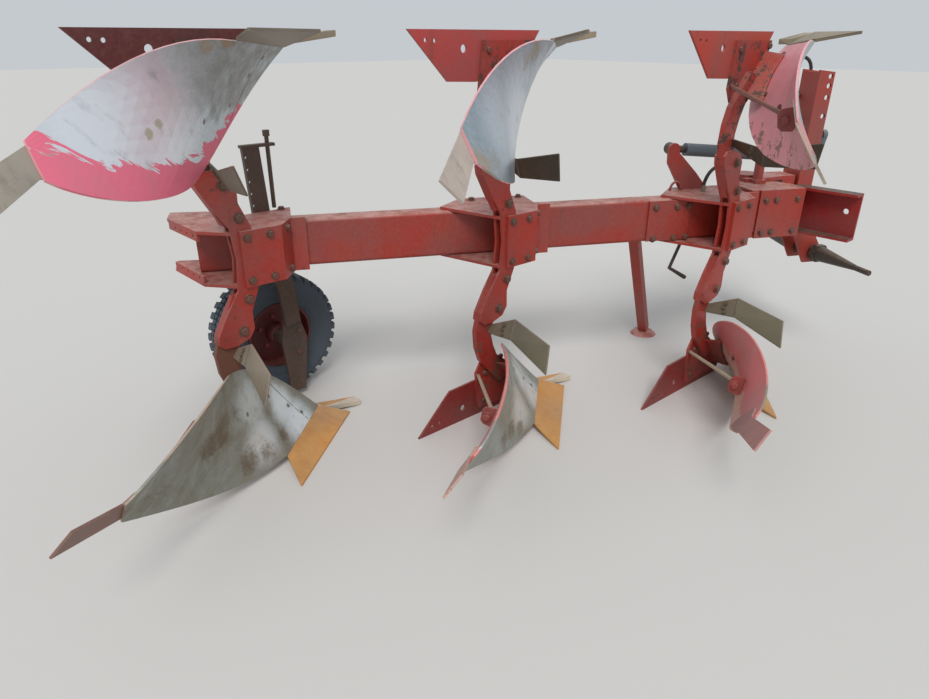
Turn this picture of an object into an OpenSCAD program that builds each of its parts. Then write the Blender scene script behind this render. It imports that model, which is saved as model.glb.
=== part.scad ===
// Three-furrow mounted reversible mouldboard plough, parked on its lower bodies.
// Millimetres, +X along the travel, +Y to the left of travel, +Z up.
// Each upper body is the mirror of the lower one in the level of the beam's middle.

/* [Layout] */
// distance between bodies along the travel
body_pitch = 960; // [900:10:1050]
// furrow width, the step of the bodies to the left
furrow_w = 493; // [400:1:520]
// height of the beam's middle above the ground
mid_z = 820; // [780:1:860]
// shift of the plan to the centre of the outline, along the travel
plan_x = 892; // [800:1:1000]
// shift of the plan to the centre of the outline, across the travel
plan_y = -366; // [-450:1:-300]

/* [Beam] */
// height of the beam tube
beam_h = 200; // [150:5:220]
// width of the beam tube
beam_w = 100; // [80:5:150]
// wall of the beam tube
beam_wall = 10; // [6:1:14]
// corner radius of the beam tube
beam_round = 16; // [12:1:25]
// rear end of the beam, along the beam
beam_rear = -2215; // [-2300:5:-2100]
// front end of the beam, along the beam
beam_front = 640; // [620:5:700]
// start of the beam's own frame on the face nearest the bodies, along the travel
beam_x = -80; // [-100:1:-60]
// the same start, across the travel
beam_y = 193; // [180:1:210]

/* [Body] */
// thickness of the leg
leg_t = 26; // [20:1:32]
// right face of the leg, from the body's own line
leg_y = -20; // [-26:1:-14]
// thickness of the straps that hold the leg
strap_t = 12; // [8:1:14]
// thickness of the bent bracket plate
bracket_t = 14; // [10:1:18]
// thickness of the plates on and below the beam
gusset_t = 12; // [10:1:16]
// thickness of the frog plate
frog_t = 12; // [8:1:16]
// thickness of the landside plate
landside_t = 10; // [8:1:14]
// thickness of the mouldboard
board_t = 8; // [6:1:10]
// thickness of the share blade
share_t = 10; // [8:1:14]
// thickness of the tail piece and the trashboard
tail_t = 8; // [6:1:10]

/* [Wheel] */
// radius of the depth wheel's tyre
tyre_r = 300; // [280:1:330]
// width of the tyre
tyre_w = 190; // [160:5:220]
// radius of the rim's bead seat
rim_r = 160; // [150:1:180]
// radius of the wheel's stub axle
stub_r = 25; // [20:1:35]
// wheel centre ahead of the rear body's reference place, along the travel
wheel_x = 240; // [200:1:280]
// wheel centre from the right face of its column, across the travel
wheel_out = 186; // [170:1:220]
// gap between the beam and the wheel's column
column_clear = 7; // [3:1:20]
// thickness of the wheel's column
column_t = 22; // [16:1:28]

/* [Headstock] */
// vertical pivot, along the beam
pivot_u = 510; // [500:5:520]
// turnover axis and pivot, left of the beam's face
axis_v = 280; // [270:5:300]
// radius of the vertical pivot's pin
pivot_r = 40; // [30:1:45]
// thickness of the pivot's plates
pivot_t = 18; // [14:1:22]
// rear face of the tower, along the beam
tower_u = 785; // [775:5:800]
// depth of the tower's cheeks
tower_d = 90; // [80:5:110]
// width over the tower's cheeks
tower_w = 130; // [120:5:150]
// plate thickness of the tower
tower_t = 12; // [8:1:14]
// top of the tower above the beam's middle
tower_top = 650; // [630:5:700]
// radius of the turnover axle
axle_r = 45; // [38:1:48]
// radial gap of every running fit
fit = 0.05; // [0.02:0.01:0.1]
// gap between plates that slide on or pass each other
slip = 0.5; // [0.3:0.1:2]
// radius of the top link's holes
link_hole_r = 13; // [10:0.5:16]
// cross shaft, along the beam
cross_u = 980; // [960:5:1000]
// cross shaft, below the beam's middle
cross_h = 290; // [270:5:300]
// half length of the cross shaft over its tips
cross_half = 470; // [450:5:490]
// radius of the cross shaft between the collars
cross_r = 42; // [38:1:48]
// radius of the cross shaft's tips
tip_r = 14.2; // [11:0.1:18.5]
// wear of the left tip's radius
tip_wear = 0.2; // [0.16:0.01:0.3]

/* [Hidden] */
$fn = 64;

beam_angle = atan(furrow_w / body_pitch);
half_h = beam_h / 2;
contact = 0.02;
plate_top = half_h + contact + gusset_t;
strap_right = leg_y - strap_t;
leg_left = leg_y + leg_t;
frog_left = leg_left + frog_t;
tower_half = tower_w / 2;
seat = 0.3;
wheel_at = wheel_x - 2 * body_pitch;
column_back = wheel_at - 127;
column_y = beam_y + (beam_w - (column_back - beam_x) * sin(beam_angle)) / cos(beam_angle) + column_clear;
wheel_y = column_y + wheel_out;

// colours
red = [0.72, 0.24, 0.18];
dark_red = [0.45, 0.08, 0.08];
worn_steel = [0.62, 0.65, 0.69];
ochre = [0.80, 0.60, 0.28];
drab = [0.50, 0.47, 0.40];
rubber = [0.10, 0.13, 0.16];
maroon = [0.35, 0.06, 0.10];
dark_steel = [0.22, 0.20, 0.19];
cylinder_blue = [0.45, 0.55, 0.62];

// places: the plan frame, the beam's own frame and the three bodies
module plan() translate([plan_x, plan_y, 0]) children();
module beam_axes() translate([beam_x, beam_y, 0]) rotate([0, 0, -beam_angle]) children();
module on_beam() plan() translate([0, 0, mid_z]) beam_axes() children();
module at_body(place) plan() translate([-place * body_pitch, place * furrow_w, mid_z]) children();
module flipped(upper) {
    if (upper) children();
    else mirror([0, 0, 1]) children();
}
module both_sides() {
    children();
    mirror([0, 0, 1]) children();
}
module body_side(place, upper) at_body(place) flipped(upper) children();
function beam_point(u, v) = [beam_x + u * cos(beam_angle) + v * sin(beam_angle),
    beam_y - u * sin(beam_angle) + v * cos(beam_angle)];

// a plate in the travel's vertical plane from y0 to y0 + t, its outline in [x, height]
module side_plate(outline, y0, t) translate([0, y0 + t, 0]) rotate([90, 0, 0])
    linear_extrude(t) polygon(outline);

// a flat plate from z0 to z0 + t, its outline in plan
module flat_plate(outline, z0, t) translate([0, 0, z0]) linear_extrude(t) polygon(outline);

module along_x(r, len) rotate([0, 90, 0]) cylinder(r = r, h = len);
module along_y(r, len) rotate([-90, 0, 0]) cylinder(r = r, h = len);

module rounded(w, h, r) {
    square([w - 2 * r, h], center = true);
    square([w, h - 2 * r], center = true);
    for (sx = [-1, 1], sy = [-1, 1]) translate([sx * (w / 2 - r), sy * (h / 2 - r)]) circle(r);
}

module main_beam() color(red) on_beam() translate([beam_rear, beam_w / 2, 0]) rotate([90, 0, 90])
    difference() {
        linear_extrude(beam_front - beam_rear) rounded(beam_w, beam_h, beam_round);
        translate([0, 0, -1]) linear_extrude(beam_front - beam_rear + 2)
            rounded(beam_w - 2 * beam_wall, beam_h - 2 * beam_wall, beam_round - beam_wall);
    }

// brackets: two gussets, a bent plate, the leg's two straps and the clamping bolts behind the beam
gusset_outline = [[-155, 285], [-85, strap_right], [110, strap_right], beam_point(325, 0),
    beam_point(325, 190), beam_point(15, 190)];
clamp_bolts = [[60, 145], [290, 160]];
strap_outline = [[-72, 0], [-86, 125], [-137, 200], [-190, 295], [-196, 330], [-170, 350], [-120, 350],
    [-62, 330], [-38, 293], [-40, 220], [0, 125], [20, 0]];
bend_at = 120;
flange_from = 325;
flange_to = 385;
module bracket_core() {
    both_sides() for (y = [strap_right, leg_left]) side_plate(strap_outline, y, strap_t);
    flat_plate([[-55, strap_right - bracket_t], [bend_at, strap_right - bracket_t],
        beam_point(flange_from, -bracket_t), beam_point(flange_to, -bracket_t),
        beam_point(flange_to, -contact), beam_point(flange_from - bracket_t, -contact),
        [bend_at - bracket_t / 2, strap_right], [-55, strap_right]],
        -plate_top - 1, 2 * plate_top + 2);
    beam_axes() for (p = clamp_bolts) translate([p[0], p[1], -half_h - 6]) cylinder(r = 12, h = beam_h + 12);
}

// the rear bracket's plates reach back to a turned edge with four small holes, and carry the wheel's column
rear_outline = [[-32, -145], [-167, 97], [-169, 206], [44, 185], [328, 190], [328, -7], [271, -113],
    [99, -202]];
edge_holes = [40, 95, 150, 205];
turned_edge = 268;
turned_h = 30;
turned_angle = atan2(rear_outline[1][1] - rear_outline[0][1], rear_outline[1][0] - rear_outline[0][0]);
module rear_plates() beam_axes() both_sides() {
    flat_plate(rear_outline, half_h + contact, gusset_t);
    translate(rear_outline[0]) rotate([0, 0, turned_angle]) mirror([0, 1, 0])
        translate([0, 1, half_h - turned_h]) difference() {
            translate([2, 0, 0]) cube([turned_edge, 10, turned_h + 1]);
            for (x = edge_holes) translate([x, -1, turned_h / 2]) along_y(6, 12);
        }
}
// the column's plan place seen from the rear body
column_x0 = column_back - 28 + 2 * body_pitch;
column_x1 = wheel_at + 25 + 2 * body_pitch;
column_face = column_y - 2 * furrow_w - contact;
seat_u0 = 130;
seat_u1 = 260;
module bracket(place) color(red) at_body(place) {
    bracket_core();
    if (place < 2) both_sides() flat_plate(gusset_outline, half_h + contact, gusset_t);
    else {
        difference() {
            rear_plates();
            translate([column_x0, column_face, -half_h - 50])
                cube([column_x1 - column_x0, 300, beam_h + 100]);
        }
        difference() {
            beam_axes() translate([seat_u0, beam_w + contact, -half_h - 1])
                cube([seat_u1 - seat_u0, 90, beam_h + 2]);
            translate([column_x0 - 200, column_face, -half_h - 2]) cube([500, 300, beam_h + 4]);
        }
    }
}

// one leg with its frog and the wing that backs the mouldboard
leg_outline = [[-110, 140], [-30, 140], [-60, 285], [-95, 335], [-118, 375], [-120, 415], [-105, 470],
    [-80, 525], [-40, 585], [0, 640], [-60, 665], [-122, 596], [-178, 530], [-203, 460], [-210, 380],
    [-190, 295], [-137, 200]];
frog_outline = [[-165, 785], [-185, 600], [-150, 542], [-60, 535], [20, 600], [80, 680], [110, 750],
    [125, 785]];
module leg(place, upper) color(dark_red) body_side(place, upper) {
    side_plate(leg_outline, leg_y, leg_t);
    side_plate(frog_outline, leg_left, frog_t);
    board_struts();
}

// landside plate, outside the frog
landside_outline = [[-510, 820], [-330, 645], [-205, 640], [0, 640], [90, 740], [150, 820]];
landside_holes = [[-430, 785, 8], [-388, 783, 8], [-252, 756, 15]];
module landside(place, upper) color(red) body_side(place, upper)
    translate([0, frog_left + landside_t, 0]) rotate([90, 0, 0]) linear_extrude(landside_t) difference() {
        polygon(landside_outline);
        for (p = landside_holes) translate([p[0], p[1]]) circle(p[2]);
    }

// mouldboard: four edge curves carry the surface
function bezier(a, b, c, d, t) =
    pow(1 - t, 3) * a + 3 * t * pow(1 - t, 2) * b + 3 * t * t * (1 - t) * c + pow(t, 3) * d;
shin_top = [-245, -225, 365];
shin_bottom = [222, -14, 757];
seam_end = [-70, -262, 781];
wing_top = [-762, -622, 480];
wing_low = [-775, -568, 570];
seam_share = 0.35;
function shin_edge(t) = bezier(shin_top, [-70, -20, 430], [90, 80, 600], shin_bottom, t);
function top_edge(s) = bezier(shin_top, [-400, -460, 325], [-660, -640, 405], wing_top, s);
function low_edge(s) = s < seam_share
    ? shin_bottom + (seam_end - shin_bottom) * s / seam_share
    : bezier(seam_end, [-290, -340, 810], [-520, -395, 730], wing_low, (s - seam_share) / (1 - seam_share));
function wing_edge(t) = wing_top + (wing_low - wing_top) * t;
function board_at(s, t) = (1 - t) * top_edge(s) + t * low_edge(s) + (1 - s) * shin_edge(t) + s * wing_edge(t)
    - (1 - s) * (1 - t) * shin_top - (1 - s) * t * shin_bottom - s * (1 - t) * wing_top - s * t * wing_low;
board_ns = 20;
board_nt = 10;
function unit(v) = v / norm(v);
function board_normal(s, t) = let (e = 0.02)
    unit(cross(board_at(s + e, t) - board_at(s - e, t), board_at(s, t + e) - board_at(s, t - e)));
function clamp_in(x) = min(max(x, 0.02), 0.98);
function behind_board(s, t, d) = board_at(s, t) + d * board_normal(clamp_in(s), clamp_in(t));

// a closed sheet from a front and a back grid of (na + 1) x (nb + 1) points
module sheet_solid(front, back, na, nb) {
    n = (na + 1) * (nb + 1);
    function at(i, j) = i * (nb + 1) + j;
    function quad(a, b, c, d) = [[a, b, c], [a, c, d]];
    patches = [
        for (i = [0 : na - 1], j = [0 : nb - 1])
            each quad(at(i, j), at(i, j + 1), at(i + 1, j + 1), at(i + 1, j)),
        for (i = [0 : na - 1], j = [0 : nb - 1])
            each quad(n + at(i, j), n + at(i + 1, j), n + at(i + 1, j + 1), n + at(i, j + 1)),
        for (i = [0 : na - 1]) each quad(at(i, 0), at(i + 1, 0), n + at(i + 1, 0), n + at(i, 0)),
        for (i = [0 : na - 1]) each quad(at(i, nb), n + at(i, nb), n + at(i + 1, nb), at(i + 1, nb)),
        for (j = [0 : nb - 1]) each quad(at(0, j), n + at(0, j), n + at(0, j + 1), at(0, j + 1)),
        for (j = [0 : nb - 1]) each quad(at(na, j), at(na, j + 1), n + at(na, j + 1), n + at(na, j))
    ];
    polyhedron(points = concat(front, back), faces = patches);
}

module board(place, upper) color(worn_steel) body_side(place, upper) {
    grid = [for (i = [0 : board_ns], j = [0 : board_nt]) [i / board_ns, j / board_nt]];
    sheet_solid([for (g = grid) board_at(g[0], g[1])], [for (g = grid) behind_board(g[0], g[1], board_t)],
        board_ns, board_nt);
}

// web from the frog to the mouldboard's back, and the stay rod to a pad on its back
web_r = 6;
web_gap = 1.5;
web_steps = 3;
web_s = 0.13;
function web_foot(k) = [-75, 8, 575] + ([85, 8, 738] - [-75, 8, 575]) * k / web_steps;
function web_head(k) = behind_board(web_s, 0.52 + 0.38 * k / web_steps, board_t + web_gap + web_r);
stay_foot = [-168, 8, 612];
stay_head = [0.58, 0.42];
stay_r = 9;
module board_struts() {
    for (k = [0 : web_steps - 1]) hull() for (j = [k, k + 1], p = [web_foot(j), web_head(j)])
        translate(p) sphere(r = web_r, $fn = 8);
    hull() {
        translate(stay_foot) sphere(r = stay_r - 1, $fn = 12);
        translate(behind_board(stay_head[0], stay_head[1], board_t + seat + stay_r))
            sphere(r = stay_r, $fn = 16);
    }
}

// share blade with its point bar, whose ends are [x, y, height]
share_corners = [[223.6, -15.9, 758], [-68.7, -263.5, 783], [-108, -440, mid_z - share_t],
    [348, -72, mid_z - share_t]];
bar_heel = [228, -22, 768];
bar_point = [424, -42, mid_z - 25];
bar_w = 50;
bar_t = 22;
module share(place, upper) color(ochre) body_side(place, upper) {
    hull() for (p = share_corners) translate(p) cylinder(r = 3, h = share_t, $fn = 8);
    hull() for (p = [bar_heel, bar_point]) translate(p) cube([10, bar_w, bar_t]);
}

// tail piece, bolted behind the wing
tail_tips = [[-925, -748, 415], [-990, -735, 478]];
// its last columns of points follow the board's own grid, then it runs straight to the tip
tail_lap = 2;
function tail_sheet(d) = [for (i = [board_ns - tail_lap : board_ns + 1], j = [1 : board_nt - 1])
    let (t = j / board_nt)
    i <= board_ns ? behind_board(i / board_ns, t, board_t + seat + d)
    : tail_tips[0] + (tail_tips[1] - tail_tips[0]) * (j - 1) / (board_nt - 2) + d * board_normal(0.98, t)];
module tail(place, upper) color(drab) body_side(place, upper)
    sheet_solid(tail_sheet(0), tail_sheet(tail_t), tail_lap + 1, board_nt - 2);

// trashboard: the blade over the shin and its lip to the leg
fold = [[-118, -165, 300], [-160, -182, 372]];
blade_end = [[-164, -402, 327], [-210, -432, 426]];
lip_end = [[-118, leg_y - seat - tail_t / 2, 366], [-140, leg_y - seat - tail_t / 2, 396]];
module trashboard(place, upper) color(drab) body_side(place, upper)
    for (far = [blade_end, lip_end]) hull() {
        for (p = concat(fold, far)) translate(p) sphere(d = tail_t, $fn = 8);
    }

module pivot_frame() color(red) on_beam() {
    both_sides() difference() {
        flat_plate([[360, 0], [beam_front, 0], [beam_front, 120], [560, axis_v + 95], [460, axis_v + 95],
            [360, 220]], half_h, pivot_t);
        translate([pivot_u, axis_v, half_h - 1]) cylinder(r = pivot_r + fit, h = pivot_t + 2);
    }
    translate([400, -12, -half_h - pivot_t - 1]) cube([beam_front - 400 + 12, 12, beam_h + 2 * pivot_t + 2]);
    translate([beam_front, -1, -half_h - pivot_t - 1]) cube([12, 121, beam_h + 2 * pivot_t + 2]);
}

module joint_plate() color(red) on_beam() translate([-195, -12, -half_h + 4]) cube([215, 12, beam_h - 8]);

// crank handle of the width screw, below the beam
module crank_handle() color(dark_steel) on_beam() {
    translate([33, 50, -plate_top - 28]) cylinder(r = 16, h = 28);
    hull() {
        translate([33, 50, -plate_top - 20]) sphere(r = 8, $fn = 12);
        translate([-12, 50, -260]) sphere(r = 8, $fn = 12);
    }
    hull() {
        translate([-12, 50, -260]) sphere(r = 8, $fn = 12);
        translate([80, 50, -315]) sphere(r = 11, $fn = 12);
    }
}

// the open channel across the front, its mouth to the rear, cut along the beam's end plate
slide_x = 530;
slide_far = -345;
slide_h = 230;
slide_t = 13;
module front_slide() color(dark_red) plan() translate([0, 0, mid_z]) difference() {
    translate([slide_x, slide_far, -slide_h / 2]) cube([75, 500, slide_h]);
    translate([slide_x - 1, slide_far - 1, -slide_h / 2 + slide_t]) cube([63, 502, slide_h - 2 * slide_t]);
    translate([slide_x + 50, slide_far + 60, 18]) along_x(14, 60);
    beam_axes() translate([0, -400, -slide_h]) cube([beam_front + 12, 800, 2 * slide_h]);
    beam_axes() translate([0, beam_w, -slide_h]) cube([1200, 800, 2 * slide_h]);
}

// depth wheel
column_outline = [[-127, 1200], [-53, 1200], [-35, 900], [40, 560], [55, 395], [-20, 385], [-35, 560],
    [-110, 900]];
spindle_x = -10;
spindle_top = 1250;
spindle_r = 9;
column_pins = [960, 1010, 1060, 1110, 1160];
module wheel_column() color(dark_steel) plan() translate([wheel_at, column_y, 0]) {
    difference() {
        side_plate(column_outline, 0, column_t);
        for (z = column_pins) translate([-103 - (z - 960) / 20, -1, z]) along_y(7, column_t + 2);
    }
    translate([-132, -4, 1198]) cube([150, column_t + 8, 12]);
    translate([spindle_x, column_t / 2, 940]) cylinder(r = spindle_r, h = spindle_top - 940);
    translate([spindle_x, column_t / 2, spindle_top - 12]) cylinder(r = 16, h = 24, $fn = 6);
}
arm_face = column_y + column_t;
arm_t = 16;
arm_outline = [[-10, 470], [40, 470], [90, 300], [58, 30], [-16, 30], [-40, 300]];
module wheel_arm() color(dark_steel) plan() {
    translate([wheel_at, 0, 0]) side_plate(arm_outline, arm_face, arm_t);
    translate([wheel_at, arm_face, tyre_r]) {
        along_y(stub_r, wheel_y - arm_face + 50);
        along_y(stub_r + 12, wheel_y - arm_face - 50 - slip);
    }
}
module wheel_rim() color(maroon) plan() translate([wheel_at, wheel_y, tyre_r]) rotate([90, 0, 0])
    difference() {
        union() {
            rotate_extrude() polygon([[rim_r - 8, -70], [rim_r, -70], [rim_r, 70], [rim_r - 8, 70]]);
            cylinder(r = rim_r - 4, h = 8, center = true);
            cylinder(r = 50, h = 100, center = true);
        }
        cylinder(r = stub_r + fit, h = 200, center = true);
    }
module tyre() color(rubber) plan() translate([wheel_at, wheel_y, tyre_r]) rotate([90, 0, 0])
    rotate_extrude() polygon([[rim_r, -65], [rim_r + 30, -80], [rim_r + 80, -tyre_w / 2],
        [tyre_r - 22, -tyre_w / 2 + 6], [tyre_r, -tyre_w / 2 + 32], [tyre_r, tyre_w / 2 - 32],
        [tyre_r - 22, tyre_w / 2 - 6], [rim_r + 80, tyre_w / 2], [rim_r + 30, 80], [rim_r, 65]]);

// parking stand, leaning out to the left and forward of its sleeve
stand_foot = [145, 500];
stand_top = [-170, 192];
stand_rise = 770;
stand_w = 50;
foot_h = 22;
stand_plan = norm(stand_top - stand_foot);
stand_lean = atan(stand_plan / stand_rise);
stand_turn = atan2(stand_top[1] - stand_foot[1], stand_top[0] - stand_foot[0]);
stand_len = norm([stand_plan, stand_rise]);
sleeve_len = 180;
sleeve_w = stand_w + 22;
module on_stand() on_beam() translate([stand_foot[0], stand_foot[1], 30 - mid_z])
    rotate([0, 0, stand_turn]) rotate([0, stand_lean, 0]) children();
module stand() color(red) {
    on_stand() translate([-stand_w / 2, -stand_w / 2, 0]) cube([stand_w, stand_w, stand_len + 60]);
    on_beam() translate([stand_foot[0], stand_foot[1], -mid_z]) cylinder(r1 = 75, r2 = 50, h = foot_h);
}
module stand_sleeve() color(red) difference() {
    union() {
        on_stand() translate([-sleeve_w / 2, -sleeve_w / 2, stand_len - sleeve_len + 30])
            cube([sleeve_w, sleeve_w, sleeve_len]);
        on_beam() translate([-200, beam_w, -80]) cube([60, stand_top[1] - beam_w + 15, 60]);
    }
    on_stand() translate([-stand_w / 2 - 2 * fit, -stand_w / 2 - 2 * fit, stand_len - 2 * sleeve_len])
        cube([stand_w + 4 * fit, stand_w + 4 * fit, 4 * sleeve_len]);
}

// cylinder that swings the frame in line: its rod's eye meets the crank arm on the beam
eye_point = [-15, 172, 305];
lug_point = [500, 170, 262];
swing_len = norm(lug_point - eye_point);
swing_turn = atan2(eye_point[1] - lug_point[1], eye_point[0] - lug_point[0]);
swing_rise = asin((eye_point[2] - lug_point[2]) / swing_len);
arm_v = 134;
arm_plate = 16;
barrel_r = 30;
barrel_len = 440;
barrel_neck = 34;
rod_start = 130;
rod_r = 17;
lug_pin_r = 13;
module on_swing() on_beam() translate(lug_point) rotate([0, 0, swing_turn])
    rotate([0, -swing_rise, 0]) children();
module crank_arm() color(red) on_beam() translate([0, arm_v + arm_plate, 0]) rotate([90, 0, 0])
    linear_extrude(arm_plate) {
        polygon([[40, plate_top], [190, plate_top], [120, 190], [14, 290], [-44, 295], [-40, 240]]);
        translate([eye_point[0], eye_point[2]]) circle(30);
    }
module swing_barrel() color(cylinder_blue) difference() {
    union() {
        on_swing() {
            along_x(16, barrel_neck + 10);
            translate([barrel_neck, 0, 0]) along_x(barrel_r, barrel_len - barrel_neck);
        }
        on_beam() translate(lug_point) cylinder(r = 28, h = 36, center = true);
    }
    on_swing() translate([rod_start - 10, 0, 0]) along_x(rod_r + fit, swing_len);
    on_beam() translate(lug_point) cylinder(r = lug_pin_r + fit, h = 80, center = true);
}
module swing_rod() color(dark_steel) {
    on_swing() translate([rod_start, 0, 0]) along_x(rod_r, swing_len - rod_start - 20);
    on_beam() translate(eye_point - [0, rod_r, 0]) along_y(28, 2 * rod_r);
}

// the carrier that swings on the vertical pin and holds the turnover axle with its crank
block_u = 690;
block_w = 120;
crank_u = tower_u + tower_d + 22;
crank_t = 16;
crank_reach = 70;
carrier_outline = [[pivot_u - 60, axis_v - 90], [pivot_u + 40, axis_v - 100], [block_u, axis_v - block_w / 2],
    [tower_u - 20, axis_v - block_w / 2], [tower_u - 20, axis_v + block_w / 2],
    [block_u, axis_v + block_w / 2], [pivot_u + 40, axis_v + 100], [pivot_u - 60, axis_v + 90]];
carrier_top = half_h + pivot_t + slip;
disc_r = 68;
disc_t = 12;
module swivel() color(red) on_beam() {
    both_sides() flat_plate(carrier_outline, carrier_top, pivot_t);
    translate([pivot_u, axis_v, -carrier_top]) cylinder(r = pivot_r, h = 2 * carrier_top);
    translate([pivot_u, axis_v, carrier_top + pivot_t - 1]) cylinder(r = disc_r, h = disc_t + 1);
    translate([block_u, axis_v - block_w / 2, -carrier_top])
        cube([tower_u - 20 - block_u, block_w, 2 * carrier_top]);
    translate([block_u + 20, axis_v, 0]) along_x(axle_r, crank_u - block_u - 20);
    translate([crank_u, axis_v, 0]) {
        along_x(axle_r, crank_t);
        translate([0, 0, -26]) cube([crank_t, crank_reach, 52]);
        translate([0, crank_reach, 0]) along_x(26, crank_t);
    }
    translate([lug_point[0] - 30, lug_point[1] - 30, carrier_top])
        cube([60, axis_v - lug_point[1] - 20, pivot_t]);
    translate([lug_point[0], lug_point[1], carrier_top]) {
        cylinder(r = 24, h = lug_point[2] - 18 - slip - carrier_top);
        cylinder(r = lug_pin_r, h = lug_point[2] + 24 - carrier_top);
    }
}

// headstock tower with the top link's holes, the turnover bearing and the lugs of the cross shaft
link_holes = [430, 520, 575, 620];
link_edge = 22;
ram_h = 330;
ram_u = crank_u + crank_t + 20;
ram_pin_r = 14;
bearing_len = tower_d + 24;
module headstock() color(red) on_beam() translate([0, axis_v, 0]) difference() {
    union() {
        for (y = [-tower_half, tower_half - tower_t]) side_plate([[tower_u, tower_top],
            [tower_u + tower_d, tower_top - 10], [tower_u + tower_d, -60], [cross_u + 50, -cross_h],
            [cross_u + 20, -cross_h - 60], [cross_u - 60, -cross_h - 60], [tower_u, -110]], y, tower_t);
        translate([tower_u, -tower_half, -110]) cube([tower_t, tower_w, tower_top + 100]);
        translate([tower_u + tower_d - tower_t, -tower_half, ram_h - 45]) cube([tower_t, tower_w, 90]);
        translate([tower_u - 12, 0, 0]) along_x(axle_r + 16, bearing_len);
        translate([tower_u + tower_d - tower_t, 0, ram_h])
            along_x(ram_pin_r, ram_u + 22 - tower_u - tower_d + tower_t);
    }
    translate([tower_u - 40, 0, 0]) along_x(axle_r + fit, 200);
    for (h = link_holes) translate([tower_u + tower_d - link_edge, -tower_w, h])
        along_y(link_hole_r, 2 * tower_w);
    translate([cross_u, -tower_w, -cross_h]) along_y(cross_r + fit, 2 * tower_w);
}

module cross_shaft() color(dark_steel) on_beam() translate([cross_u, axis_v, -cross_h]) {
    rotate([90, 0, 0]) cylinder(r = cross_r, h = 220, center = true);
    for (s = [0, 1]) rotate([90 + 180 * s, 0, 0]) {
        translate([0, 0, 85]) cylinder(r = cross_r + 10, h = 35, $fn = 6);
        translate([0, 0, 120]) cylinder(r1 = cross_r, r2 = tip_r + 1, h = 250);
        translate([0, 0, 370]) cylinder(r = tip_r - s * tip_wear, h = cross_half - 370);
    }
}

// turnover cylinder in front of the tower: its rod's eye meets the axle's crank
ram_len = norm([ram_h, crank_reach]);
ram_lean = atan(crank_reach / ram_h);
ram_r = 26;
ram_body = 175;
ram_rod_r = 14;
module on_ram() on_beam() translate([ram_u, axis_v, ram_h]) rotate([180 + ram_lean, 0, 0]) children();
module turnover_barrel() color(cylinder_blue) on_ram() difference() {
    union() {
        translate([0, 0, 10]) cylinder(r = ram_r, h = ram_body);
        translate([-12, 0, 0]) along_x(26, 24);
    }
    translate([0, 0, 50]) cylinder(r = ram_rod_r + fit, h = 200);
    translate([-40, 0, 0]) along_x(ram_pin_r + fit, 80);
}
module turnover_rod() color(dark_steel) on_ram() {
    translate([0, 0, 135]) cylinder(r = ram_rod_r, h = ram_len - 155);
    translate([-12, 0, ram_len]) along_x(24, 24);
}

places = ["front", "middle", "rear"];
main_beam();
joint_plate();
pivot_frame();
front_slide();
crank_handle();
for (i = [0 : 2]) {
    bracket(i);
    for (up = [true, false]) {
        name = str(up ? "upper_" : "lower_", places[i]);
        leg(i, up);
        landside(i, up);
        board(i, up);
        share(i, up);
        tail(i, up);
        trashboard(i, up);
    }
}
wheel_column();
wheel_arm();
wheel_rim();
tyre();
stand_sleeve();
stand();
crank_arm();
swing_barrel();
swing_rod();
swivel();
headstock();
cross_shaft();
turnover_barrel();
turnover_rod();
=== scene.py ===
"""Looks of a three-furrow mounted reversible plough: finishes, fasteners, tread and hoses on its solids."""

import math
import random

import bmesh
import bpy
from bpy.props import FloatProperty, FloatVectorProperty, PointerProperty
from mathutils import Matrix, Vector


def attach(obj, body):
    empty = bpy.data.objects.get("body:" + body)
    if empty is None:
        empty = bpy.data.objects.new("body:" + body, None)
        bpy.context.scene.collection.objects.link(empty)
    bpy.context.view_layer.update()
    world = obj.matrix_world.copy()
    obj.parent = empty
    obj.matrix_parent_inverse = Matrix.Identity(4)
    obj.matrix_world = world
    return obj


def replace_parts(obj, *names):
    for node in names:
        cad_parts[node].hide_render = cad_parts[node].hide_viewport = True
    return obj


bl_info = {
    "name": "Reversible plough",
    "version": (1, 0, 0),
    "blender": (4, 5, 0),
    "location": "3D View > Sidebar > Plough",
    "description": "Finishes, fasteners, tread and hoses of a three-furrow reversible plough",
    "category": "Object",
}

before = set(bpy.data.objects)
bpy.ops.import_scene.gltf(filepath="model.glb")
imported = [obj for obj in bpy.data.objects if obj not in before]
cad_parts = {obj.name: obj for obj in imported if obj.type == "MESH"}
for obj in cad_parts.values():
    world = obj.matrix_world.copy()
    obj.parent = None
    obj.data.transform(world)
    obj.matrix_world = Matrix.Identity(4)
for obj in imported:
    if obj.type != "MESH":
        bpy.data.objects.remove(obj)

# The plan of the solids, in metres: the same values as the part's source.
PITCH, FURROW = 0.960, 0.493
PLAN = (0.892, -0.366)
BEAM_START = (-0.080, 0.193)
MID_Z = 0.820
PLATE_TOP = 0.112
BEAM_ANGLE = math.atan(FURROW / PITCH)
COS, SIN = math.cos(BEAM_ANGLE), math.sin(BEAM_ANGLE)
RIGHT, LEFT, UP = Vector((0, -1, 0)), Vector((0, 1, 0)), Vector((0, 0, 1))
OFF_BEAM = Vector((-SIN, -COS, 0))
TYRE_R = 0.300
WHEEL = Vector((PLAN[0] - 1.680, PLAN[1] + 1.385, TYRE_R))

# The six bodies: each one's place along the beam and its side of it.
PLACES = ("front", "middle", "rear")
FRONT, MIDDLE, REAR = range(len(PLACES))
UPPER, LOWER = SIDES = (1, -1)
BODIES = tuple((place, side) for place in range(len(PLACES)) for side in SIDES)

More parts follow.
